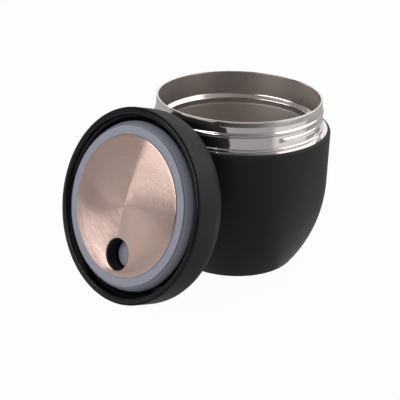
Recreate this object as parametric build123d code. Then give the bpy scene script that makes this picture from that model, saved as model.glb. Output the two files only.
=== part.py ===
from build123d import *
import os
from math import cos, degrees, asin, radians, sin, sqrt

# Insulated food jar with a screw lid, in millimetres, +Z up along the jar's axis.
# The origin is on the floor at the centre of the jar's foot.
# The lid is off: it stands on its edge and leans on the jar's -X side, underside outwards.

# ---- Outer body: a deep-drawn steel bowl with a black powder coat
body_radius = 52.4           # outer face of the straight wall
shoulder_height = 80.9       # bare steel ring at the foot of the neck
bend_height = 50.3           # the straight wall turns into the bowl here
bowl_radius = 80.4           # arc of the bowl, seen from the side
shell_gauge = 0.6
shoulder_round = 1.9
base_round = 2.5
foot_proud = 0.8             # the foot pad lifts the shell off the floor by this
base_ledge = 5.85            # flat ring round the opening in the base

# ---- Neck
shoulder_width = 5.5         # from the body's outer face in to the neck's
neck_height = 16.9           # shoulder ring to rim
neck_gauge = 0.6
flange_gauge = 0.6           # shoulder ring that joins the neck to the body
bead_step = 1.0              # rolled bead at the foot of the neck
bead_height = 1.7
bead_round = 0.7
lip_gauge = 0.7              # mouth lip, folded over the top of the neck
lip_round = 0.3

# ---- Screw thread, right-handed
thread_pitch = 4.2
thread_turns = 1.5
thread_depth = 0.75
thread_width = 2.2
thread_crest = 0.9
thread_drop = 11.4           # from the rim down to where the thread starts
thread_start_angle = 249.0
thread_root = 0.2            # how far the thread's foot is let into the wall

# ---- Inner vessel
vessel_gauge = 0.6
neck_gap = 0.1               # between the vessel and the neck's inner face
ledge_width = 1.8            # the seal's seat, a sloping step in the mouth
ledge_height = 2.25
ledge_drop = 13.8            # from the rim down to the top of the step
vessel_floor_height = 9.6
vessel_floor_round = 7.0

# ---- Vacuum jacket
foil_gauge = 0.2
foil_gap = 0.1
foil_low = 16.0              # lower edge of the foil on the bowl
foil_top_gap = 1.8           # below the seal's step
getter_radius = 4.0
getter_height = 2.4
getter_offset = 16.0
strap_gauge = 0.3
strap_width = 4.0
strap_foot = 3.0
strap_gap = 0.1

# ---- Base
base_gauge = 0.6
base_lap = 2.5               # the base disc laps the shell by this
dimple_radius = 6.0
dimple_rise = 1.6
dimple_slope = 1.8
port_radius = 1.2            # the hole that the air is drawn out through
solder_radius = 3.4
solder_height = 1.0
solder_gap = 0.1
cover_gauge = 0.4
cover_gap = 0.1
pad_inset = 1.5              # from the edge of the opening in the base
pad_ring_width = 11.5
pad_recess = 0.4
pad_round = 0.3

# ---- Lid: radii grow outwards from the neck that it screws on to
skirt_clearance = 0.95       # thread crest to the skirt's bore
liner_wall = 3.0
liner_gap = 0.1
lid_gauge = 0.7
lid_round = 10.8
channel_clearance = 0.6      # over the rim when the lid is screwed home
channel_gauge = 2.0
lid_crown = 3.5              # from the channel's roof to the lid's top
lid_thread_depth = 1.3
lid_thread_turns = 1.25
lid_thread_rise = 2.4        # from the skirt's rim to the start of the thread
lid_thread_start_angle = 20.0
plug_clearance = 0.5         # between the plug and the vessel's bore
plug_wall = 2.0
plug_floor = 2.0
plug_ledge = 2.4             # underside of the plug's edge, above the skirt's rim
rim_round = 0.5

# ---- Plate under the plug
plate_inset = 5.5            # from the plug's edge
plate_gauge = 0.6
plate_proud = 1.5            # stands out past the skirt's rim
plate_round = 0.25
bond_gauge = 0.2
bond_inset = 3.0
boss_inset = 0.8             # boss behind the plate, inside the plate's edge

# ---- Seal ring
seal_clearance = 0.15
seal_face_width = 5.1        # from the plate's edge to the ring's step
seal_proud = 1.0             # its face stands out past the skirt's rim
seal_step_depth = 0.35
seal_bend_width = 1.6        # from the step to where the lip turns steeper
seal_bend_high = 1.6
seal_lip_clearance = 0.3     # between the lip and the mouth's bore
seal_lip_low = 3.2
seal_lip_high = 4.2
seal_root_high = 4.8

# ---- Vent
vent_edge_gap = 1.2          # between the vent's well and the edge of the plate's boss
vent_angle = -6.3
vent_hole_radius = 8.7
vent_hole_round = 0.25
well_radius = 8.0
well_wall = 1.8
well_depth = 7.7             # from the plate's face to the end of the vent plug
vent_flange_radius = 10.4
vent_flange_gauge = 2.2
vent_core_radius = 7.3
vent_rib_gap = 0.1           # between the plug's ribs and the well
vent_rib_width = 1.2
vent_rib_levels = (2.0, 6.5, 11.0)
vent_dish_radius = 8.4
vent_dish_depth = 1.6
vent_bar_width = 3.0
vent_rim_gap = 0.25          # between the flange and the lid's top
foam_gap = 0.1

# ---- Where the lid leans
lean_angle = 16.8
contact_gap = 0.3            # left between the lid and the shoulder

# ---- Worked out from the sizes above
rim_height = shoulder_height + neck_height
neck_radius = body_radius - shoulder_width
flange_radius = body_radius - shoulder_round
bead_radius = neck_radius + bead_step
mouth_radius = neck_radius - neck_gauge - neck_gap - vessel_gauge
vessel_radius = mouth_radius - ledge_width
ledge_top = rim_height - ledge_drop
ledge_low = ledge_top - ledge_height
bowl_centre = body_radius - bowl_radius
base_low = foot_proud + shell_gauge
vessel_low = vessel_floor_height - vessel_gauge

skirt_radius = neck_radius + thread_depth + skirt_clearance
liner_radius = skirt_radius + liner_wall
shell_bore = liner_radius + liner_gap
lid_radius = shell_bore + lid_gauge
channel_depth = neck_height + channel_clearance
lid_height = channel_depth + channel_gauge + lid_crown
plug_radius = vessel_radius - plug_clearance
plate_radius = plug_radius - plate_inset
seal_step_radius = plate_radius + seal_face_width
plate_back = plate_gauge - plate_proud
boss_face = plate_back + bond_gauge
boss_radius = plate_radius - boss_inset
vent_offset = boss_radius - vent_edge_gap - well_wall - well_radius
vent_seat = lid_height - vent_flange_gauge
vent_end = well_depth - plate_proud


def section(*points):
    """Flat outline of (radius, height) points."""
    return make_face(Polyline(*points, close=True))


def rounded(face, radius, *corners):
    """The face with its corners nearest to the given points rounded."""
    chosen = [min(face.vertices(), key=lambda v: (Vector(v.X, v.Y) - Vector(*corner)).length)
              for corner in corners]
    return fillet(chosen, radius)


def turned(face):
    """Solid turned about Z from an outline of radius and height."""
    return revolve(Plane.XZ * face, Axis.Z)


def disc(radius, low, high):
    """Round block between two heights."""
    return Pos(0, 0, low) * Cylinder(radius, high - low, align=(Align.CENTER, Align.CENTER, Align.MIN))


def ring(outer, inner, low, high):
    """Round block with a bore."""
    return disc(outer, low, high) - disc(inner, low, high)


def bowl_width(radius, height):
    """Radius at a height of the bowl whose straight wall has the given radius."""
    arc = radius - bowl_centre
    return bowl_centre + sqrt(arc ** 2 - (bend_height - height) ** 2) if height < bend_height else radius


def bowl_section(radius, low, high):
    """Half section of a bowl with a straight wall above the bend, filled to the axis."""
    arc = radius - bowl_centre
    sweep_angle = degrees(asin((bend_height - low) / arc))
    edge = CenterArc((bowl_centre, bend_height), arc, -sweep_angle, sweep_angle)
    rest = Polyline((radius, bend_height), (radius, high), (0, high), (0, low),
                    (bowl_width(radius, low), low))
    return make_face(edge + rest)


def thread(radius, depth, turns, low):
    """Helical ridge on a wall: a positive depth stands outwards, a negative one inwards."""
    root = radius - thread_root if depth > 0 else radius + thread_root
    path = Helix(thread_pitch, thread_pitch * turns, radius)
    half_root = thread_width / 2
    half_crest = thread_crest / 2
    outline = section((root, -half_root), (radius + depth, -half_crest), (radius + depth, half_crest),
                      (root, half_root))
    return Pos(0, 0, low) * sweep(Plane.XZ * outline, path=path, is_frenet=True)


foot_radius = bowl_width(body_radius, foot_proud)
base_opening_radius = foot_radius - base_ledge
pad_radius = base_opening_radius - pad_inset
pad_recess_radius = pad_radius - pad_ring_width


# ---- Outer body
def make_outer_shell():
    """Drawn bowl with a turned-in shoulder and an opening in its base."""
    outside = bowl_section(body_radius, foot_proud, shoulder_height)
    outside = rounded(outside, shoulder_round, (body_radius, shoulder_height))
    outside = rounded(outside, base_round, (foot_radius, foot_proud))
    bore = body_radius - shell_gauge
    inside = bowl_section(bore, base_low, shoulder_height - shell_gauge)
    inside = rounded(inside, shoulder_round - shell_gauge, (bore, shoulder_height - shell_gauge))
    inside = rounded(inside, base_round - shell_gauge, (bowl_width(bore, base_low), base_low))
    shell = turned(outside) - turned(inside)
    shell -= disc(flange_radius, bend_height, rim_height)
    return shell - disc(base_opening_radius, 0, bend_height)


def make_neck_sleeve():
    """Outer wall of the neck, with its shoulder flange, foot bead and rolled thread."""
    inner = neck_radius - neck_gauge
    top = rim_height - lip_gauge
    low = shoulder_height - flange_gauge
    bead_top = shoulder_height + bead_height
    outline = section((inner, low), (flange_radius, low), (flange_radius, shoulder_height),
                      (bead_radius, shoulder_height), (bead_radius, bead_top), (neck_radius, bead_top),
                      (neck_radius, top), (inner, top))
    outline = rounded(outline, bead_round, (bead_radius, bead_top))
    ridge = thread(neck_radius, thread_depth, thread_turns, rim_height - thread_drop)
    return turned(outline) + Rot(0, 0, thread_start_angle) * ridge


def make_inner_vessel():
    """Seamless inner bowl with the seal's step, its lip folded out over the neck."""
    def hollow(extra, floor, top):
        wall = vessel_radius + extra
        lower = bowl_section(wall, floor, ledge_low)
        lower = rounded(lower, vessel_floor_round + extra, (bowl_width(wall, floor), floor))
        upper = section((0, ledge_low), (wall, ledge_low), (mouth_radius + extra, ledge_top),
                        (mouth_radius + extra, top), (0, top))
        return turned(lower) + turned(upper)

    lip = section((mouth_radius, rim_height - lip_gauge), (neck_radius, rim_height - lip_gauge),
                  (neck_radius, rim_height), (mouth_radius, rim_height))
    lip = rounded(lip, lip_round, (neck_radius, rim_height), (mouth_radius, rim_height))
    wall = hollow(vessel_gauge, vessel_low, rim_height - lip_gauge)
    wall -= hollow(0, vessel_floor_height, rim_height)
    return wall + turned(lip)


# ---- Base, from the inside out
def make_outer_base():
    """Base disc welded inside the shell, with the dimple that the jar is evacuated through."""
    radius = base_opening_radius + base_lap
    flat = dimple_radius - dimple_slope
    low, high = base_low, base_low + base_gauge
    return turned(section((port_radius, low + dimple_rise), (flat, low + dimple_rise),
                          (dimple_radius, low), (radius, low), (radius, high),
                          (dimple_radius + base_gauge / 2, high),
                          (flat + base_gauge / 2, high + dimple_rise), (port_radius, high + dimple_rise)))


def make_vacuum_plug():
    """Solder bead that closes the evacuation hole from below."""
    seat = base_low + dimple_rise
    low = seat - solder_height
    stem = port_radius - solder_gap
    return turned(section((0, low), (solder_radius - solder_height / 2, low), (solder_radius, seat),
                          (stem, seat), (stem, seat + base_gauge), (0, seat + base_gauge)))


def make_base_cover():
    """Thin disc glued under the base."""
    return disc(base_opening_radius - cover_gap, base_low - cover_gauge, base_low)


def make_foot_pad():
    """Silicone pad that the jar stands on, relieved in the middle."""
    top = base_low - cover_gauge
    outline = section((0, pad_recess), (pad_recess_radius, pad_recess),
                      (pad_recess_radius + pad_recess, 0), (pad_radius, 0), (pad_radius, top), (0, top))
    return turned(rounded(outline, pad_round, (pad_radius, 0)))


# ---- Inside the vacuum jacket
def make_getter():
    """Gas-absorbing pellet under the vessel's floor."""
    top = vessel_low - strap_gauge
    return Pos(getter_offset, 0, 0) * disc(getter_radius, top - getter_height, top)


def make_getter_strap():
    """Hat-shaped strap that is spot-welded under the vessel and holds the getter."""
    half = getter_radius + strap_gap
    foot = half + strap_foot
    seat = vessel_low - strap_gauge - getter_height
    hat = half + strap_gauge
    brim = vessel_low - strap_gauge
    crown = seat - strap_gauge
    profile = section((-foot, vessel_low), (-half, vessel_low), (-half, seat), (half, seat),
                      (half, vessel_low), (foot, vessel_low), (foot, brim), (hat, brim), (hat, crown),
                      (-hat, crown), (-hat, brim), (-foot, brim))
    return Pos(getter_offset, 0, 0) * extrude(Plane.XZ * profile, strap_width / 2, both=True)


def make_heat_shield():
    """Copper foil round the vessel's straight wall."""
    inner = vessel_radius + vessel_gauge + foil_gap
    return ring(inner + foil_gauge, inner, bend_height, ledge_low - foil_top_gap)


def make_heat_shield_bowl():
    """Copper foil formed to the vessel's bowl, open round the getter."""
    inner = vessel_radius + vessel_gauge + foil_gap
    foil = turned(bowl_section(inner + foil_gauge, foil_low, ledge_low))
    foil -= turned(bowl_section(inner, foil_low, ledge_low))
    return foil - disc(body_radius, bend_height, rim_height)


# ---- Lid pieces, drawn upright: z is 0 at the skirt's rim and grows towards the lid's top
def at_vent(solid):
    """The solid moved from the lid's axis to the vent's."""
    return Rot(0, 0, vent_angle) * Pos(vent_offset, 0, 0) * solid


def cap_section(radius, round_radius, high):
    """Half section of a cap with a rounded top edge, filled to the axis."""
    return rounded(section((0, 0), (radius, 0), (radius, high), (0, high)), round_radius, (radius, high))


def make_lid_shell():
    """Drawn steel cap with a black powder coat, pierced for the vent plug."""
    outside = turned(cap_section(lid_radius, lid_round, lid_height))
    inside = turned(cap_section(shell_bore, lid_round - lid_gauge, lid_height - lid_gauge))
    return outside - inside - at_vent(disc(vent_flange_radius + vent_rim_gap, vent_end, lid_height))


def make_lid_liner():
    """Moulded liner: threaded skirt, channel for the neck, insulated plug and vent well."""
    channel_top = channel_depth + channel_gauge
    inset = lid_gauge + liner_gap
    body = cap_section(liner_radius, lid_round - inset, lid_height - inset)
    body = turned(rounded(body, rim_round, (liner_radius, 0)))
    body -= disc(lid_radius, channel_top, lid_height)
    body -= ring(skirt_radius, plug_radius, 0, channel_depth)
    body -= disc(skirt_radius, 0, plug_ledge)
    inner = plug_radius - plug_wall
    pocket = boss_radius - plug_wall
    body -= disc(inner, plug_ledge + plug_floor, channel_top)
    body += disc(boss_radius, boss_face, plug_ledge + plug_floor)
    body -= disc(pocket, boss_face + plug_floor, plug_ledge + plug_floor)
    body += at_vent(disc(well_radius + well_wall, boss_face, vent_seat))
    body -= at_vent(disc(well_radius, boss_face, vent_seat))
    ridge = thread(skirt_radius, -lid_thread_depth, lid_thread_turns, lid_thread_rise)
    return body + Rot(0, 0, lid_thread_start_angle) * ridge


def make_lid_insulation():
    """Foam block inside the plug, bored for the vent well."""
    top = lid_height - lid_gauge - foam_gap
    step = plug_ledge + plug_floor + foam_gap
    block = disc(boss_radius - plug_wall - foam_gap, boss_face + plug_floor + foam_gap, top)
    block += disc(plug_radius - plug_wall - foam_gap, step, top)
    return block - at_vent(disc(vent_flange_radius + vent_rim_gap, boss_face, lid_height))


def make_lid_plate():
    """Spun-brushed steel disc under the plug, with the vent hole."""
    outline = section((0, -plate_proud), (plate_radius, -plate_proud), (plate_radius, plate_back),
                      (0, plate_back))
    plate = turned(rounded(outline, plate_round, (plate_radius, -plate_proud)))
    plate -= at_vent(disc(vent_hole_radius, -plate_proud, plate_back))
    circles = plate.edges().filter_by(GeomType.CIRCLE).sort_by(Axis.Z)
    mouth = min(circles, key=lambda edge: abs(edge.radius - vent_hole_radius))
    return fillet(mouth, vent_hole_round)


def make_plate_bond():
    """Adhesive layer between the plate and the plug's boss."""
    return disc(boss_radius - bond_inset, plate_back, boss_face) - at_vent(
        disc(vent_hole_radius, plate_back, boss_face))


def make_lid_seal():
    """Silicone ring round the plug's edge, with a flexible lip that meets the step in the mouth."""
    inner = boss_radius + seal_clearance
    root = plug_radius + seal_clearance
    top = plug_ledge - seal_clearance
    low = plate_back + seal_clearance
    edge = plate_radius + seal_clearance
    lip = mouth_radius - seal_lip_clearance
    return turned(section((inner, low), (edge, low), (edge, -seal_proud), (seal_step_radius, -seal_proud),
                          (seal_step_radius, seal_step_depth - seal_proud),
                          (seal_step_radius + seal_bend_width, seal_bend_high),
                          (lip, seal_lip_low), (lip, seal_lip_high), (root, seal_root_high), (root, top),
                          (inner, top)))


def make_vent_plug():
    """Silicone plug that is pulled out of the lid's top to let steam or suction go."""
    plug = disc(vent_core_radius, vent_end, vent_seat) + disc(vent_flange_radius, vent_seat, lid_height)
    for level in vent_rib_levels:
        plug += disc(well_radius - vent_rib_gap, vent_end + level, vent_end + level + vent_rib_width)
    dish = disc(vent_dish_radius, lid_height - vent_dish_depth, lid_height)
    bar = Pos(0, 0, lid_height) * Box(3 * vent_dish_radius, vent_bar_width, 3 * vent_dish_depth)
    return at_vent(plug - (dish - bar))


# ---- The lid's leaning place: its rounded edge stands on the floor and its top meets the shoulder
lean_cos = cos(radians(lean_angle))
lean_sin = sin(radians(lean_angle))
lid_lift = (lid_radius - lid_round) * lean_cos + (lid_height - lid_round) * lean_sin + lid_round
shoulder_reach = (flange_radius * lean_cos + (shoulder_height - shoulder_round) * lean_sin
                  + shoulder_round)
lid_away = (shoulder_reach + contact_gap + lid_height - lid_lift * lean_sin) / lean_cos
lid_plane = Plane(origin=(-lid_away, 0, lid_lift), x_dir=(-lean_sin, 0, -lean_cos),
                  z_dir=(lean_cos, 0, -lean_sin))

jar_parts = {
    "outer_shell": make_outer_shell(),
    "neck_sleeve": make_neck_sleeve(),
    "inner_vessel": make_inner_vessel(),
    "outer_base": make_outer_base(),
    "vacuum_plug": make_vacuum_plug(),
    "base_cover": make_base_cover(),
    "foot_pad": make_foot_pad(),
    "getter": make_getter(),
    "getter_strap": make_getter_strap(),
    "heat_shield": make_heat_shield(),
    "heat_shield_bowl": make_heat_shield_bowl(),
}
lid_parts = {
    "lid_shell": make_lid_shell(),
    "lid_liner": make_lid_liner(),
    "lid_insulation": make_lid_insulation(),
    "lid_plate": make_lid_plate(),
    "plate_bond": make_plate_bond(),
    "lid_seal": make_lid_seal(),
    "vent_plug": make_vent_plug(),
}

os.makedirs("parts", exist_ok=True)
for name, solid in jar_parts.items():
    export_step(solid, f"parts/{name}.step")
for name, solid in lid_parts.items():
    export_step(lid_plane * solid, f"parts/{name}.step")
print("lid axis passes", lid_plane.origin, "towards", lid_plane.z_dir)
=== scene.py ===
import bmesh
import bpy
from math import asin, atan2, cos, hypot, pi, radians, sin
from mathutils import Matrix, Vector


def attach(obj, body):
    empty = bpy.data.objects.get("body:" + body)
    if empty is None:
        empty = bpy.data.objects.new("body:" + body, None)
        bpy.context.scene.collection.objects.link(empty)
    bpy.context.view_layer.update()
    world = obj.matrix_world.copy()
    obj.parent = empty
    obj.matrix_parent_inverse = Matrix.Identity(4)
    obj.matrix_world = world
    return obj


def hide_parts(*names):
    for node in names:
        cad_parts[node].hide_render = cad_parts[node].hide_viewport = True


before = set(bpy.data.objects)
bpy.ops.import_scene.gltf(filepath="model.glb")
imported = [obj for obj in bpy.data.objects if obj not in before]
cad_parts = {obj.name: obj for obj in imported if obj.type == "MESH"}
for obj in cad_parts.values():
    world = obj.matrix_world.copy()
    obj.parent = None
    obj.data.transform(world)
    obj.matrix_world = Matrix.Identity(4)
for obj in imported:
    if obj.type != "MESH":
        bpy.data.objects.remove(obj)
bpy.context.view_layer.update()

# ---- Outer body
# A bowl drawn from stainless sheet, with an almost straight wall above a rounded bottom.
# It is powder-coated in matt charcoal black, and its top edge is turned in to the neck's flange.
# The jar's sizes are in millimetres, and the camera, the floor and the lamps are placed in metres.
MM = 0.001
body_radius = 52.4
body_gauge = 0.6
shoulder_height = 80.9
shoulder_round = 1.9
flange_radius = body_radius - shoulder_round
flange_flat = 0.05
bend_height = 50.3
bowl_radius = 80.4
bowl_steps = 40
foot_height = 0.8
foot_round = 2.5
opening_radius = 29.5
coat_dark = (0.012, 0.0114, 0.0126)
coat_light = (0.0155, 0.0147, 0.0163)
coat_patch = 14
peel_size = 0.45
peel_depth = 0.02
turn_steps = 240
round_steps = 6
smooth_angle = 32
same_place = 0.01
merge_gap = 0.001


class Value:
    """A socket of a finish. Arithmetic on it adds Math nodes to that finish."""

    def __init__(self, finish, socket):
        self.finish = finish
        self.socket = socket

    def calculate(self, operation, *terms):
        return self.finish.node("ShaderNodeMath", {"operation": operation}, dict(enumerate(terms)))

    def __add__(self, other):
        return self.calculate("ADD", self, other)

    def __sub__(self, other):
        return self.calculate("SUBTRACT", self, other)

    def __rsub__(self, other):
        return self.calculate("SUBTRACT", other, self)

    def __mul__(self, other):
        return self.calculate("MULTIPLY", self, other)

    def __truediv__(self, other):
        return self.calculate("DIVIDE", self, other)

    def __pow__(self, other):
        return self.calculate("POWER", self, other)

    __radd__ = __add__
    __rmul__ = __mul__


class Finish:
    """A surface finish put together from nodes."""

    output_kind = "ShaderNodeOutputMaterial"

    def __init__(self, name):
        self.material = bpy.data.materials.new(name)
        self.material.use_nodes = True
        self.tree = self.material.node_tree
        self.tree.nodes.clear()

    def node(self, kind, settings, sockets, output=0):
        """Adds a node, sets it up, then fills or links its sockets, and gives one of its outputs."""
        made = self.tree.nodes.new(kind)
        for key, setting in settings.items():
            setattr(made, key, setting)
        for key, filling in sockets.items():
            if isinstance(filling, Value):
                self.tree.links.new(filling.socket, made.inputs[key])
            else:
                made.inputs[key].default_value = filling
        return Value(self, made.outputs[output])

    def place(self, origin=(0, 0, 0), turn=(0, 0, 0)):
        """Where a point is on the piece, in metres from the given origin and along its turned axes."""
        point = self.node("ShaderNodeTexCoord", {}, {}, "Object")
        return self.node("ShaderNodeMapping", {"vector_type": "TEXTURE"},
                         {"Vector": point, "Location": origin, "Rotation": turn})

    def noise(self, point, size, detail=2.0):
        """Cloudy values from 0 to 1 with patches of about that size in millimetres."""
        return self.node("ShaderNodeTexNoise", {},
                         {"Vector": point, "Scale": 1 / (size * MM), "Detail": detail})

    def mix(self, share, first, second):
        """A colour between two colours."""
        return self.node("ShaderNodeMix", {"data_type": "RGBA"}, {0: share, 6: first, 7: second}, 2)

    def parts(self, vector):
        """The X, Y and Z of a vector."""
        return [self.node("ShaderNodeSeparateXYZ", {}, {"Vector": vector}, axis) for axis in "XYZ"]

    def vector(self, x, y, z):
        """A vector of three values."""
        return self.node("ShaderNodeCombineXYZ", {}, {"X": x, "Y": y, "Z": z})

    def ramp(self, value, start, end):
        """Rises smoothly from 0 to 1 while the value goes from the start to the end."""
        return self.node("ShaderNodeMapRange", {"interpolation_type": "SMOOTHSTEP"},
                         {"Value": value, "From Min": start, "From Max": end})

    def bump(self, height, depth, strength=1.0):
        """A normal from heights of 0 to 1 that stand for that depth in millimetres."""
        return self.node("ShaderNodeBump", {},
                         {"Height": height, "Distance": depth * MM, "Strength": strength})

    def surface(self, sockets):
        """The shader itself, and the finished material."""
        self.finish_with(self.node("ShaderNodeBsdfPrincipled", {}, sockets))
        return self.material

    def finish_with(self, shader):
        """Links the shader to the output."""
        made = self.tree.nodes.new(self.output_kind)
        self.tree.links.new(shader.socket, made.inputs["Surface"])


def tone(colour, gain=1.0):
    """A colour for a socket, made lighter or darker by the gain."""
    return (*[part * gain for part in colour], 1)


def wire(bm, corners, closed=False):
    """A line through (radius, height, rounding) corners in the XZ plane, in millimetres."""
    made = [bm.verts.new((r * MM, 0, z * MM)) for r, z, _ in corners]
    following = made[1:] + made[:1] if closed else made[1:]
    for first, second in zip(made, following):
        bm.edges.new((first, second))
    for point, (_, _, rounding) in zip(made, corners):
        if rounding:
            bmesh.ops.bevel(bm, geom=[point], offset=rounding * MM, segments=round_steps, profile=0.5,
                            affect="VERTICES", material=-1)


def turn(bm, steps=turn_steps):
    """Turns the line about Z and closes the surface that it makes."""
    bmesh.ops.spin(bm, geom=bm.verts[:] + bm.edges[:], cent=(0, 0, 0), axis=(0, 0, 1), angle=2 * pi,
                   steps=steps, use_merge=True)
    bmesh.ops.remove_doubles(bm, verts=bm.verts[:], dist=merge_gap * MM)
    bmesh.ops.recalc_face_normals(bm, faces=bm.faces[:])


def bowl_arc(wall, low):
    """Corners down a bowl's arc, from the bend under a straight wall of that radius to a height."""
    centre = body_radius - bowl_radius
    reach = wall - centre
    sweep = asin((bend_height - low) / reach)
    angles = [sweep * step / bowl_steps for step in range(bowl_steps + 1)]
    return [(centre + reach * cos(angle), bend_height - reach * sin(angle), 0) for angle in angles]


def make_piece(name, bm, material, body, slot, *nodes, place=Matrix()):
    """Makes a mesh a piece of the object that rides on a body and stands for CAD nodes."""
    bm.transform(place)
    mesh = bpy.data.meshes.new(name)
    bm.to_mesh(mesh)
    bm.free()
    mesh.shade_smooth()
    mesh.set_sharp_from_angle(angle=radians(smooth_angle))
    mesh.materials.append(material)
    piece = bpy.data.objects.new(name, mesh)
    bpy.context.scene.collection.objects.link(piece)
    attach(piece, body)
    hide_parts(*nodes)


def powder_coat(name):
    """Matt charcoal powder coat: fine orange peel and slightly uneven tone."""
    coat = Finish(name)
    point = coat.place()
    cloud = coat.noise(point, coat_patch)
    peel = coat.noise(point, peel_size, detail=1.0)
    return coat.surface({
        "Base Color": coat.mix(cloud, tone(coat_dark), tone(coat_light)),
        "Roughness": cloud * 0.06 + 0.5,
        "Specular IOR Level": 0.25,
        "Normal": coat.bump(peel, peel_depth, strength=0.5)})


body_coat = powder_coat("body_powder_coat")
bm = bmesh.new()
wall = bowl_arc(body_radius, foot_height)
inner = bowl_arc(body_radius - body_gauge, foot_height + body_gauge)
foot_radius = wall[-1][0]
inner_foot = inner[-1][0]
wire(bm, [(flange_radius, shoulder_height, 0), (body_radius, shoulder_height, shoulder_round - flange_flat)]
     + wall[:-1]
     + [(foot_radius, foot_height, foot_round), (opening_radius, foot_height, 0.2),
        (opening_radius, foot_height + body_gauge, 0),
        (inner_foot, foot_height + body_gauge, foot_round - body_gauge)]
     + inner[-2::-1]
     + [(body_radius - body_gauge, shoulder_height - body_gauge, shoulder_round - body_gauge),
        (flange_radius, shoulder_height - body_gauge, 0)], closed=True)
turn(bm)
make_piece("body_shell", bm, body_coat, "jar", "coat", "outer_shell")

# ---- Inner bowl
# A seamless stainless bowl, brushed inside, that hangs in the vacuum from the mouth.
# A rolled step near the mouth is the seal's seat, with a shallow hoop under it, and the lip is
# folded out over the neck. The step and the lip are polished, with a lighter colour as a painted
# highlight, and the bowl below is blasted, with a lighter colour as painted light from above.
vessel_gauge = 0.6
vessel_radius = 43.8
mouth_radius = 45.6
neck_radius = 46.9
lip_radius = 46.6
rim_height = 97.8
step_low = 81.75
step_high = 84.0
step_round = 0.5
lip_gauge = 0.7
lip_round = 0.25
floor_height = 9.6
floor_round = 7.0
hoop_depth = 0.13
hoop_low = step_low - 3.4
hoop_high = step_low - 0.5
hoop_slope = 0.5
inside_steel = (0.52, 0.475, 0.447)
line_size = 0.12
steel_patch = 18
polished_roughness = 0.1
# painted highlight: the polished bands' colour is lightened by this gain
painted_highlight_gain = 1.3
polished_and_highlight_bands = ((step_low - 0.7, step_high + 0.4), (rim_height - 0.8, rim_height + 1))
blasted_and_painted_light_below = step_low - 3.2
# painted light from above: the bowl's colour below the blasted height is lightened by this gain
painted_light_gain = 1.24
blasted_roughness = 0.12
zone_fade = 0.3


def steel(name, colour, roughness, spread, depth, strength, polished=(), blasted_and_painted_light=0.0):
    """Bare stainless with fine lines turned round the axis.

    It is smooth between the polished (low, high) heights, where its colour is lightened as a painted
    highlight, and rough below the blasted height, where its colour is lightened as painted light from above.
    """
    metal = Finish(name)
    point = metal.place()
    x, y, z = metal.parts(point)
    reach = (x * x + y * y) ** 0.5
    grain = metal.noise(metal.vector(reach, z, 0.0), line_size)
    cloud = metal.noise(point, steel_patch)
    below = metal.ramp(z, (blasted_and_painted_light + zone_fade) * MM, blasted_and_painted_light * MM)
    shade = metal.mix(cloud, tone(colour, 0.93), tone(colour))
    # painted light from above: lighter colour below the blasted height
    shade = metal.mix(below, shade, tone(colour, painted_light_gain))
    rough = grain * spread + roughness + below * blasted_roughness
    for low, high in polished:
        over = metal.ramp(z, low * MM, (low + zone_fade) * MM)
        under = metal.ramp(z, (high + zone_fade) * MM, high * MM)
        rough = rough - over * under * (roughness - polished_roughness)
        # painted highlight: lighter colour on the polished bands
        shade = metal.mix(over * under, shade, tone(colour, painted_highlight_gain))
    return metal.surface({
        "Base Color": shade,
        "Metallic": 1.0,
        "Roughness": rough,
        "Normal": metal.bump(grain, depth, strength)})


satin_steel = steel("brushed_inside_steel", inside_steel, roughness=0.34, spread=0.08, depth=0.012,
                    strength=0.6, polished=polished_and_highlight_bands, blasted_and_painted_light=blasted_and_painted_light_below)
bm = bmesh.new()
inside = bowl_arc(vessel_radius, floor_height)
outside = bowl_arc(vessel_radius + vessel_gauge, floor_height - vessel_gauge)
wire(bm, [(0, floor_height, 0), (inside[-1][0], floor_height, floor_round)] + inside[-2::-1]
     + [(vessel_radius, hoop_low, 0.4), (vessel_radius + hoop_depth, hoop_low + hoop_slope, 0.3),
        (vessel_radius + hoop_depth, hoop_high, 0.2), (vessel_radius, step_low, 0.35),
        (mouth_radius, step_high, step_round), (mouth_radius, rim_height, lip_round),
        (lip_radius, rim_height, lip_round), (lip_radius, rim_height - lip_gauge, 0.15),
        (mouth_radius + vessel_gauge, rim_height - lip_gauge, 0),
        (mouth_radius + vessel_gauge, step_high, step_round),
        (vessel_radius + vessel_gauge, step_low, step_round)] + outside[:-1]
     + [(outside[-1][0], floor_height - vessel_gauge, floor_round + vessel_gauge),
        (0, floor_height - vessel_gauge, 0)])
turn(bm)
make_piece("inner_bowl", bm, satin_steel, "jar", "vessel_steel", "inner_vessel")

# ---- Neck
# A polished stainless sleeve that is welded between the body and the inner bowl's lip, where its
# top is drawn in a little. Its thread is rolled out of the sheet in a turn and a half, above a
# rolled bead.
neck_gauge = 0.6
bead_radius = 47.9
bead_height = 1.7
bead_round = 0.6
thread_pitch = 4.2
thread_turns = 1.5
thread_depth = 0.75
thread_width = 3.0
thread_low = rim_height - 11.4
thread_start = 250.5
thread_fade = 0.014
thread_zone = (84.7, 94.4)
thread_cuts = 84
thread_steps = 480
thread_fullness = 0.8
neck_steel = (0.72, 0.675, 0.668)
neck_draw = 0.15
neck_taper = 0.3
tall_wall = 5


def ridge_height(angle, height, low, turns, start, fade, width):
    """How far a rolled thread stands out at a place on its wall, from 0 to 1."""
    highest = 0.0
    first = ((angle - radians(start)) / (2 * pi)) % 1.0
    for lap in range(int(turns) + 1):
        along = first + lap
        if along <= turns:
            off = abs(height - low - thread_pitch * along) / (width / 2)
            if off < 1:
                ends = min(1.0, along / fade, (turns - along) / fade)
                highest = max(highest, (0.5 + 0.5 * cos(pi * off)) ** thread_fullness * sin(ends * pi / 2))
    return highest


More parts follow.
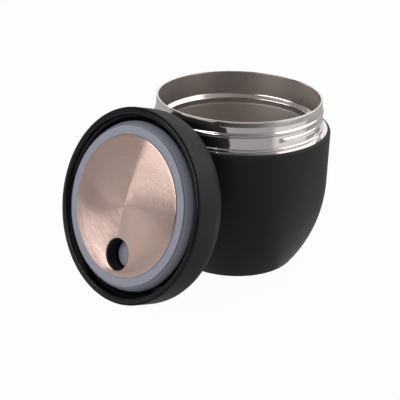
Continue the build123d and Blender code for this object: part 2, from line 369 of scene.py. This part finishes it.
def roll_thread(bm, radius, depth, low, turns, start, fade, width):
    """Pushes a thread out of the wall of that radius, or into it where the depth is negative."""
    for vert in bm.verts:
        reach = hypot(vert.co.x, vert.co.y)
        if abs(reach - radius * MM) < same_place * MM:
            angle = atan2(vert.co.y, vert.co.x)
            stand = ridge_height(angle, vert.co.z / MM, low, turns, start, fade, width)
            grow = (reach + depth * MM * stand) / reach
            vert.co.x *= grow
            vert.co.y *= grow


def wall_of(bm, radius):
    """The edges of a line, before it is turned, that stand at that radius."""
    return [e for e in bm.edges if all(abs(v.co.x - radius * MM) < same_place * MM for v in e.verts)]


polished_steel = steel("polished_neck_steel", neck_steel, roughness=0.07, spread=0.05, depth=0.002,
                       strength=0.3)
bm = bmesh.new()
neck_inner = neck_radius - neck_gauge
wire(bm, [(lip_radius - neck_draw, rim_height - lip_gauge, 0.15),
          (neck_radius, thread_zone[1] + neck_taper, 0.2),
          (neck_radius, thread_zone[1], 0), (neck_radius, thread_zone[0], 0),
          (neck_radius, shoulder_height + bead_height, 0.3),
          (bead_radius, shoulder_height + bead_height, bead_round),
          (bead_radius, shoulder_height, 0.25),
          (flange_radius, shoulder_height, 0), (flange_radius, shoulder_height - neck_gauge, 0),
          (neck_inner, shoulder_height - neck_gauge, 0), (neck_inner, rim_height - lip_gauge, 0)],
     closed=True)
thread_wall = [e for e in wall_of(bm, neck_radius) if e.calc_length() > tall_wall * MM]
bmesh.ops.subdivide_edges(bm, edges=thread_wall, cuts=thread_cuts)
turn(bm, thread_steps)
roll_thread(bm, neck_radius, thread_depth, thread_low, thread_turns, thread_start, thread_fade, thread_width)
make_piece("threaded_neck", bm, polished_steel, "jar", "polished_steel", "neck_sleeve")

# ---- Base and vacuum parts
# Under the jar a welded disc closes the vacuum, a thin coated cover hides it and a silicone pad
# is the foot. Between the walls are the copper foil, the getter pellet and its strap.
pad_radius = 28.0
pad_recess_radius = 16.5
pad_recess = 0.4
recess_round = 0.2
pad_top = 1.0
pad_black = (0.035, 0.035, 0.038)
silicone_patch = 9
silicone_grain = 0.5


def silicone(name, colour, roughness):
    """Moulded silicone: a faintly mottled matt skin."""
    rubber = Finish(name)
    point = rubber.place()
    cloud = rubber.noise(point, silicone_patch)
    skin = rubber.noise(point, silicone_grain, detail=1.0)
    return rubber.surface({
        "Base Color": rubber.mix(cloud, tone(colour), tone(colour, 1.06)),
        "Roughness": skin * 0.08 + roughness,
        "Normal": rubber.bump(skin, depth=0.008, strength=0.5)})


pad_silicone = silicone("foot_silicone", pad_black, roughness=0.6)
bm = bmesh.new()
wire(bm, [(0, pad_recess, 0), (pad_recess_radius, pad_recess, recess_round),
          (pad_recess_radius + pad_recess, 0, recess_round),
          (pad_radius, 0, 0.3), (pad_radius, pad_top, 0), (0, pad_top, 0)])
turn(bm)
make_piece("foot_ring_pad", bm, pad_silicone, "jar", "pad_silicone", "foot_pad")


def plain(name, colour, roughness, metallic=0.0, size=2.0, spread=0.1):
    """A plain finish with a little grain, for pieces inside the walls."""
    finish = Finish(name)
    grain = finish.noise(finish.place(), size)
    return finish.surface({
        "Base Color": finish.mix(grain, tone(colour, 0.9), tone(colour)),
        "Metallic": metallic,
        "Roughness": grain * spread + roughness,
        "Normal": finish.bump(grain, depth=0.02, strength=0.4)})


def refinish(finishes):
    """Gives CAD pieces that stay as they are a finish by node name."""
    for node, material in finishes.items():
        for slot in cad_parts[node].material_slots:
            slot.material = material


base_steel = plain("welded_base_steel", (0.5, 0.5, 0.5), roughness=0.35, metallic=1.0)
solder = plain("solder_bead", (0.42, 0.42, 0.43), roughness=0.4, metallic=1.0, size=0.8)
cover_coat = powder_coat("base_cover_coat")
getter_alloy = plain("getter_alloy", (0.16, 0.16, 0.16), roughness=0.7, metallic=1.0, size=0.3)
copper_foil = plain("copper_foil", (0.72, 0.33, 0.19), roughness=0.18, metallic=1.0, size=5.0)
refinish({
    "outer_base": base_steel, "vacuum_plug": solder, "base_cover": cover_coat, "getter": getter_alloy,
    "getter_strap": base_steel, "heat_shield": copper_foil, "heat_shield_bowl": copper_foil})

# ---- Lid cap
# The lid is off: it stands on its edge and leans its top on the jar's shoulder.
# Its outside is a drawn steel cap in the body's powder coat, pierced for the vent's plug.
lean = radians(16.8)
lid_centre = Vector((-84.326, 0, 54.1507)) * MM
lid_axis = Vector((cos(lean), 0, -sin(lean)))
lid_down = Vector((-sin(lean), 0, -cos(lean)))
lid_side = lid_axis.cross(lid_down)
lid_place = Matrix.Translation(lid_centre) @ Matrix((lid_down, lid_side, lid_axis)).transposed().to_4x4()
cap_radius = 52.4
cap_gauge = 0.7
cap_height = 23.0
cap_round = 10.8
cap_edge = 0.45
cap_rim_round = 0.3
vent_offset = 26.0
vent_angle = radians(-6.3)
vent_centre = Vector((vent_offset * cos(vent_angle), vent_offset * sin(vent_angle), 0)) * MM
vent_opening = 10.65
flat_radius = 40.0


def rim_of(bm, radius, height):
    """The ring of edges at that radius and height."""
    def on_rim(vert):
        return (abs(hypot(vert.co.x, vert.co.y) - radius * MM) < same_place * MM
                and abs(vert.co.z - height * MM) < same_place * MM)
    return [e for e in bm.edges if all(on_rim(v) for v in e.verts)]


def extend(bm, edges):
    """Grows a strip of faces from a ring of edges, and gives the new vertices and edges."""
    grown = bmesh.ops.extrude_edge_only(bm, edges=edges)["geom"]
    verts = [g for g in grown if isinstance(g, bmesh.types.BMVert)]
    return verts, [g for g in grown if isinstance(g, bmesh.types.BMEdge)]


def draw_in(bm, edges, from_radius, to_radius):
    """Extends a ring inwards over a flat to a ring of another radius about the vent."""
    verts, ring = extend(bm, edges)
    share = to_radius / from_radius
    bmesh.ops.scale(bm, verts=verts, vec=(share, share, 1))
    bmesh.ops.translate(bm, verts=verts, vec=vent_centre)
    return ring


def widen(bm, edges, from_radius, to_radius, rise=0.0):
    """Extends a ring about the vent to another radius, and along the axis by the rise."""
    verts, ring = extend(bm, edges)
    share = to_radius / from_radius
    bmesh.ops.translate(bm, verts=verts, vec=-vent_centre)
    bmesh.ops.scale(bm, verts=verts, vec=(share, share, 1))
    bmesh.ops.translate(bm, verts=verts, vec=vent_centre + Vector((0, 0, rise * MM)))
    return ring


def sink(bm, edges, depth):
    """Extends a ring along the axis."""
    verts, ring = extend(bm, edges)
    bmesh.ops.translate(bm, verts=verts, vec=(0, 0, depth * MM))
    return ring


def close_up(bm):
    """Joins what meets and points every face outwards."""
    bmesh.ops.remove_doubles(bm, verts=bm.verts[:], dist=merge_gap * MM)
    bmesh.ops.recalc_face_normals(bm, faces=bm.faces[:])


lid_coat = powder_coat("lid_powder_coat")
bm = bmesh.new()
cap_bore = cap_radius - cap_gauge
wire(bm, [(flat_radius, cap_height, 0), (cap_radius, cap_height, cap_round),
          (cap_radius, cap_edge, cap_rim_round), (cap_bore, cap_edge, cap_rim_round),
          (cap_bore, cap_height - cap_gauge, cap_round - cap_gauge),
          (flat_radius, cap_height - cap_gauge, 0)])
turn(bm)
top = draw_in(bm, rim_of(bm, flat_radius, cap_height), flat_radius, vent_opening)
draw_in(bm, rim_of(bm, flat_radius, cap_height - cap_gauge), flat_radius, vent_opening)
sink(bm, top, -cap_gauge)
close_up(bm)
make_piece("lid_cap", bm, lid_coat, "lid", "coat", "lid_shell", place=lid_place)

# ---- Lid moulding
# One glossy black plastic moulding inside the cap: the threaded skirt, the channel that the
# neck goes into, the plug that fills the mouth and the well of the vent.
liner_radius = 51.6
skirt_radius = 48.6
rim_round = 1.1
channel_depth = 17.5
channel_roof = 19.5
channel_round = 0.6
plug_radius = 43.3
plug_bore = 41.3
bore_round = 0.4
plug_ledge = 2.4
plug_floor = 4.4
boss_radius = 37.0
boss_face = -0.7
boss_round = 0.2
boss_bore = 35.0
boss_floor = 1.3
well_radius = 8.0
well_wall = 1.8
well_top = 20.8
lid_thread_depth = -1.3
lid_thread_turns = 1.25
lid_thread_low = 2.4
lid_thread_start = 20.0
lid_thread_fade = 0.05
skirt_cuts = 84
skirt_steps = 360
haunch_height = 12.4
haunch_round = 2.5
haunch_width = 3
flat_rim = 1
gloss_dark = (0.005, 0.005, 0.0055)
gloss_light = (0.008, 0.008, 0.0085)
gloss_patch = 11
flow_size = 2.5

gloss = Finish("gloss_black_moulding")
point = gloss.place()
cloud = gloss.noise(point, gloss_patch)
flow = gloss.noise(point, flow_size, detail=1.0)
black_gloss = gloss.surface({
    "Base Color": gloss.mix(cloud, tone(gloss_dark), tone(gloss_light)),
    "Roughness": cloud * 0.06 + 0.14,
    "Specular IOR Level": 0.22,
    "Normal": gloss.bump(flow, depth=0.02, strength=0.35)})

bm = bmesh.new()
wire(bm, [(boss_radius - flat_rim, boss_face, 0), (boss_radius, boss_face, boss_round),
          (boss_radius, plug_ledge, boss_round), (plug_radius, plug_ledge, 0.3),
          (plug_radius, channel_depth, channel_round), (skirt_radius, channel_depth, channel_round),
          (skirt_radius, 0, rim_round), (liner_radius, 0, rim_round),
          (liner_radius, haunch_height, haunch_round), (liner_radius - haunch_width, channel_roof, 1.0),
          (plug_bore, channel_roof, bore_round), (plug_bore, plug_floor, 0.5),
          (boss_bore, plug_floor, bore_round), (boss_bore, boss_floor, bore_round),
          (boss_bore - flat_rim, boss_floor, 0)])
bmesh.ops.subdivide_edges(bm, edges=wall_of(bm, skirt_radius), cuts=skirt_cuts)
turn(bm, skirt_steps)
roll_thread(bm, skirt_radius, lid_thread_depth, lid_thread_low, lid_thread_turns, lid_thread_start,
            lid_thread_fade, thread_width)
face_rim = rim_of(bm, boss_radius - flat_rim, boss_face)
floor_rim = rim_of(bm, boss_bore - flat_rim, boss_floor)
face_ring = draw_in(bm, face_rim, boss_radius - flat_rim, well_radius)
floor_ring = draw_in(bm, floor_rim, boss_bore - flat_rim, well_radius + well_wall)
well_rim = sink(bm, face_ring, well_top - boss_face)
sink(bm, floor_ring, well_top - boss_floor)
widen(bm, well_rim, well_radius, well_radius + well_wall)
close_up(bm)
make_piece("lid_moulding", bm, black_gloss, "lid", "liner", "lid_liner", place=lid_place)

# ---- Foam and glue in the lid
# A block of insulating foam fills the moulding's plug against heat.
# A thin layer of glue between the plug's face and the plate holds the plate.
foam = plain("insulation_foam", (0.78, 0.75, 0.66), roughness=0.85, size=0.6)
glue = plain("plate_glue", (0.6, 0.6, 0.58), roughness=0.45)
refinish({"lid_insulation": foam, "plate_bond": glue})

# ---- Plate
# A stainless disc under the plug, spun-brushed in fine rings, which throw two bright fans
# across it. The vent's hole has a lightly rolled lip.
plate_radius = 37.8
plate_face = -1.5
plate_back = -0.9
plate_round = 0.45
plate_flat = plate_radius - 2
vent_radius = 8.7
vent_lip = ((0.35, 0.0), (0.12, 0.1), (0.0, 0.3))   # how far outside the hole and how deep
plate_dark = (0.65, 0.475, 0.42)
plate_light = (0.67, 0.49, 0.435)
ring_pitch = 0.01
band_pitch = 1.6
groove_slope = 2.3

spun = Finish("spun_plate_steel")
lid_turn = tuple(lid_place.to_euler())
point = spun.place(tuple(lid_centre), lid_turn)
x, y, _ = spun.parts(point)
reach = (x * x + y * y) ** 0.5
rings = spun.vector(reach, 0.0, 0.0)
groove = spun.noise(rings, ring_pitch, detail=0.0)
band = spun.noise(rings, band_pitch)
outward = spun.vector(x / reach, y / reach, 0.0)
outward = spun.node("ShaderNodeMapping", {"vector_type": "POINT"}, {"Vector": outward, "Rotation": lid_turn})
outward = spun.node("ShaderNodeVectorTransform", {"vector_type": "VECTOR", "convert_from": "OBJECT",
                                                  "convert_to": "WORLD"}, {"Vector": outward})
slope = (groove - 0.5) * groove_slope
tilt = spun.node("ShaderNodeVectorMath", {"operation": "SCALE"}, {"Vector": outward, "Scale": slope})
flat = spun.node("ShaderNodeNewGeometry", {}, {}, "Normal")
leant = spun.node("ShaderNodeVectorMath", {"operation": "ADD"}, {0: flat, 1: tilt})
leant = spun.node("ShaderNodeVectorMath", {"operation": "NORMALIZE"}, {0: leant})
plate_steel = spun.surface({
    "Base Color": spun.mix(band, tone(plate_dark), tone(plate_light)),
    "Metallic": 1.0,
    "Roughness": band * 0.01 + 0.11,
    "Normal": leant})

bm = bmesh.new()
wire(bm, [(plate_flat, plate_face, 0), (plate_radius, plate_face, plate_round),
          (plate_radius, plate_back, 0.1), (plate_flat, plate_back, 0)])
turn(bm)
lip = draw_in(bm, rim_of(bm, plate_flat, plate_face), plate_flat, vent_radius + vent_lip[0][0])
draw_in(bm, rim_of(bm, plate_flat, plate_back), plate_flat, vent_radius)
for (wide, above), (narrow, below) in zip(vent_lip, vent_lip[1:]):
    lip = widen(bm, lip, vent_radius + wide, vent_radius + narrow, below - above)
sink(bm, lip, plate_back - plate_face - vent_lip[-1][1])
close_up(bm)
make_piece("spun_plate", bm, plate_steel, "lid", "plate_steel", "lid_plate", place=lid_place)

# ---- Seal ring
# A blue-grey silicone ring round the plug's edge. Its flat face lies by the plate, and beyond
# a fine step its lip slopes back to meet the step in the mouth.
seal_gap = 0.15
seal_inner = boss_radius + seal_gap
seal_edge = plate_radius + seal_gap
seal_back = -0.75
seal_face = -1.0
seal_seat = plug_ledge - seal_gap
groove_inner = 42.5
groove_outer = 43.1
groove_depth = 1.0
groove_draft = 0.1
groove_round = 0.08
lip_step = 0.35
seal_bend = (44.5, 1.6)
seal_lip = mouth_radius - 0.3
seal_lip_low = 3.4
seal_lip_high = 4.2
seal_top = 4.8
blue_grey = (0.295, 0.303, 0.367)
seal_silicone = silicone("seal_silicone", blue_grey, roughness=0.42)
bm = bmesh.new()
wire(bm, [(seal_inner, seal_back, 0), (seal_edge, seal_back, 0), (seal_edge, seal_face, 0.1),
          (groove_inner, seal_face, 0.15),
          (groove_inner + groove_draft, seal_face + groove_depth, groove_round),
          (groove_outer, seal_face + groove_depth, groove_round),
          (groove_outer + groove_draft, seal_face + lip_step, groove_round),
          (*seal_bend, 1.2), (seal_lip, seal_lip_low, 0.7), (seal_lip, seal_lip_high, 0.3),
          (plug_radius + seal_gap, seal_top, 0.1), (plug_radius + seal_gap, seal_seat, 0),
          (seal_inner, seal_seat, 0)], closed=True)
turn(bm)
make_piece("seal_ring", bm, seal_silicone, "seal", "seal_silicone", "lid_seal", place=lid_place)

# ---- Vent plug
# A silicone plug with three sealing ribs, pressed into the well from the lid's top.
# A dish round its bar gives the fingers a hold to pull it by.
core_radius = 7.3
rib_radius = 7.9
plug_end = 6.2
rib_levels = (2.0, 6.5, 11.0)
rib_width = 1.2
rib_round = 0.25
disc_radius = 10.4
dish_radius = 8.4
dish_depth = 1.6
dish_draft = 0.4
bar_width = 3.0
bar_sink = 0.2
bar_overlap = 0.3
bar_round = 0.4
stopper_steps = 120
vent_place = lid_place @ Matrix.Translation(vent_centre) @ Matrix.Rotation(vent_angle, 4, "Z")

vent_silicone = silicone("vent_silicone", blue_grey, roughness=0.42)
bm = bmesh.new()
ribs = []
for level in rib_levels:
    low = plug_end + level
    ribs += [(core_radius, low, 0), (rib_radius, low, rib_round),
             (rib_radius, low + rib_width, rib_round), (core_radius, low + rib_width, 0)]
wire(bm, [(0, plug_end, 0), (core_radius, plug_end, 0.8)] + ribs
     + [(core_radius, well_top, 0), (disc_radius, well_top, 0.3), (disc_radius, cap_height, 0.5),
        (dish_radius, cap_height, 0.3), (dish_radius - dish_draft, cap_height - dish_depth, 0.5),
        (0, cap_height - dish_depth, 0)])
turn(bm, stopper_steps)
bar_length = 2 * (dish_radius + bar_overlap)
bar_height = dish_depth + bar_sink
bar = bmesh.ops.create_cube(bm, size=MM)["verts"]
bmesh.ops.scale(bm, verts=bar, vec=(bar_length, bar_width, bar_height))
bmesh.ops.translate(bm, verts=bar, vec=(0, 0, (cap_height - bar_height / 2) * MM))
bar_edges = [e for e in bm.edges if all(v in bar for v in e.verts)]
bmesh.ops.bevel(bm, geom=bar_edges, offset=bar_round * MM, segments=3, profile=0.5, affect="EDGES",
                material=-1)
make_piece("vent_stopper", bm, vent_silicone, "vent", "vent_silicone", "vent_plug", place=vent_place)

# ---- Camera
# A long lens, so that the jar's sides stay nearly straight. It looks down a little on the open jar
# and the lid's underside, from the jar's -X -Y side.
camera_azimuth = radians(-45.35)
camera_elevation = radians(23.892)
camera_distance = 0.6
camera_roll = radians(1.759)
studio_centre = Vector((0, 0, 0.05))
camera_right = -0.02093
camera_up = -0.01547
camera_lens = 92.89
back = Vector((sin(camera_azimuth) * cos(camera_elevation), -cos(camera_azimuth) * cos(camera_elevation),
               sin(camera_elevation)))
level = Vector((cos(camera_azimuth), sin(camera_azimuth), 0))
upright = back.cross(level)
right = level * cos(camera_roll) + upright * sin(camera_roll)
up = upright * cos(camera_roll) - level * sin(camera_roll)
lens = bpy.data.cameras.new("studio_camera")
lens.sensor_width = 36
lens.lens = camera_lens
lens.clip_start = 0.01
camera = bpy.data.objects.new("studio_camera", lens)
bpy.context.scene.collection.objects.link(camera)
camera.matrix_world = Matrix.Translation(
    studio_centre + camera_distance * back + camera_right * right + camera_up * up) @ Matrix(
        (right, up, back)).transposed().to_4x4()
bpy.context.scene.camera = camera

# ---- Floor, lamps and surroundings
# A plain white floor and a white studio round it. Soft lamps stand on the lid's side, on the right
# and behind, and the surroundings are brighter on the right than straight in front. In polished
# metal the floor near the jar is brighter on two sides, as if white cards lay there.
floor_radius = 6.0
floor_level = -0.0002
floor_colour = (0.8, 0.8, 0.8)
right_card = radians(25)
right_spread = (0.86, 0.93)
right_glow = 0.6
left_card = radians(-120)
left_spread = (0.3, 0.9)
left_glow = 0.3
card_reach = (0.6, 0.25)
card_dim = 0.08
centre_soften = 0.0001
floor_glow = 0.5
seen_share = 0.97
mirrored_share = 0.8
lamp_distance = 1.2
watts_per_radiance = 4


def towards(azimuth, x, y):
    """How far a place or a direction goes towards an azimuth, where 0 is -Y and 90 degrees is +X."""
    return x * sin(azimuth) - y * cos(azimuth)


def ray_kinds(finish):
    """Whether the light goes to the camera, into a mirror or through glass, each as 0 or 1."""
    return [finish.node("ShaderNodeLightPath", {}, {}, f"Is {kind} Ray")
            for kind in ("Camera", "Glossy", "Transmission")]


floor_white = Finish("white_floor")
seen, mirrored, through = ray_kinds(floor_white)
x, y, _ = floor_white.parts(floor_white.place())
reach = (x * x + y * y + centre_soften) ** 0.5
right_patch = floor_white.ramp(towards(right_card, x, y) / reach, *right_spread)
left_patch = floor_white.ramp(towards(left_card, x, y) / reach, *left_spread)
near = floor_white.ramp(reach, *card_reach)
cards = near * (right_patch * right_glow + left_patch * left_glow - card_dim) + floor_glow
matt = floor_white.node("ShaderNodeBsdfDiffuse", {}, {"Color": tone(floor_colour)})
glow = floor_white.node("ShaderNodeEmission", {}, {"Color": seen * (1 - cards) + cards,
                                                   "Strength": seen + mirrored + through})
share = seen * seen_share + (mirrored + through) * mirrored_share
floor_white.finish_with(floor_white.node("ShaderNodeMixShader", {}, {0: share, 1: matt, 2: glow}))
bm = bmesh.new()
bmesh.ops.create_circle(bm, cap_ends=True, segments=96, radius=floor_radius)
floor_mesh = bpy.data.meshes.new("studio_floor")
bm.to_mesh(floor_mesh)
bm.free()
floor_mesh.materials.append(floor_white.material)
floor = bpy.data.objects.new("studio_floor", floor_mesh)
floor.location.z = floor_level
bpy.context.scene.collection.objects.link(floor)


def soft_lamp(name, azimuth, elevation, width, height, radiance):
    """A large area lamp that looks at the object, with its azimuth and elevation in degrees."""
    lamp = bpy.data.lights.new(name, "AREA")
    lamp.shape = "RECTANGLE"
    lamp.size = width
    lamp.size_y = height
    lamp.energy = watts_per_radiance * radiance * width * height
    aim = Vector((sin(radians(azimuth)) * cos(radians(elevation)),
                  -cos(radians(azimuth)) * cos(radians(elevation)), sin(radians(elevation))))
    stand = bpy.data.objects.new(name, lamp)
    bpy.context.scene.collection.objects.link(stand)
    stand.location = studio_centre + aim * lamp_distance
    stand.rotation_mode = "QUATERNION"
    stand.rotation_quaternion = aim.to_track_quat("Z", "Y")


soft_lamp("lid_lamp", azimuth=-105, elevation=28, width=1.1, height=0.6, radiance=2.8)
soft_lamp("right_lamp", azimuth=52, elevation=34, width=1.7, height=0.75, radiance=1.3)
soft_lamp("back_lamp", azimuth=138, elevation=28, width=1.4, height=0.5, radiance=0.55)


class Surroundings(Finish):
    """The world's light, put together from nodes as a finish is."""

    output_kind = "ShaderNodeOutputWorld"

    def __init__(self, world):
        world.use_nodes = True
        self.tree = world.node_tree
        self.tree.nodes.clear()


bright_side = radians(50)
bright_level = 0.45
bright_gain = 0.15
front_side = radians(-50)
front_spread = (0.35, 0.95)
front_dim = 0.4
overhead_dim = 0.35
mirror_gain = 0.06

studio = bpy.data.worlds.new("white_studio")
bpy.context.scene.world = studio
air = Surroundings(studio)
seen, mirrored, through = ray_kinds(air)
x, y, z = air.parts(air.node("ShaderNodeTexCoord", {}, {}, "Generated"))
bright = towards(bright_side, x, y) * bright_gain + bright_level
front = air.ramp(towards(front_side, x, y), *front_spread)
light = (bright - front * front_dim) * (1 - z * overhead_dim) + (mirrored + through) * mirror_gain
air.finish_with(air.node("ShaderNodeBackground", {}, {"Color": seen * (1 - light) + light, "Strength": 1.0}))

bpy.context.scene.view_settings.view_transform = "Standard"
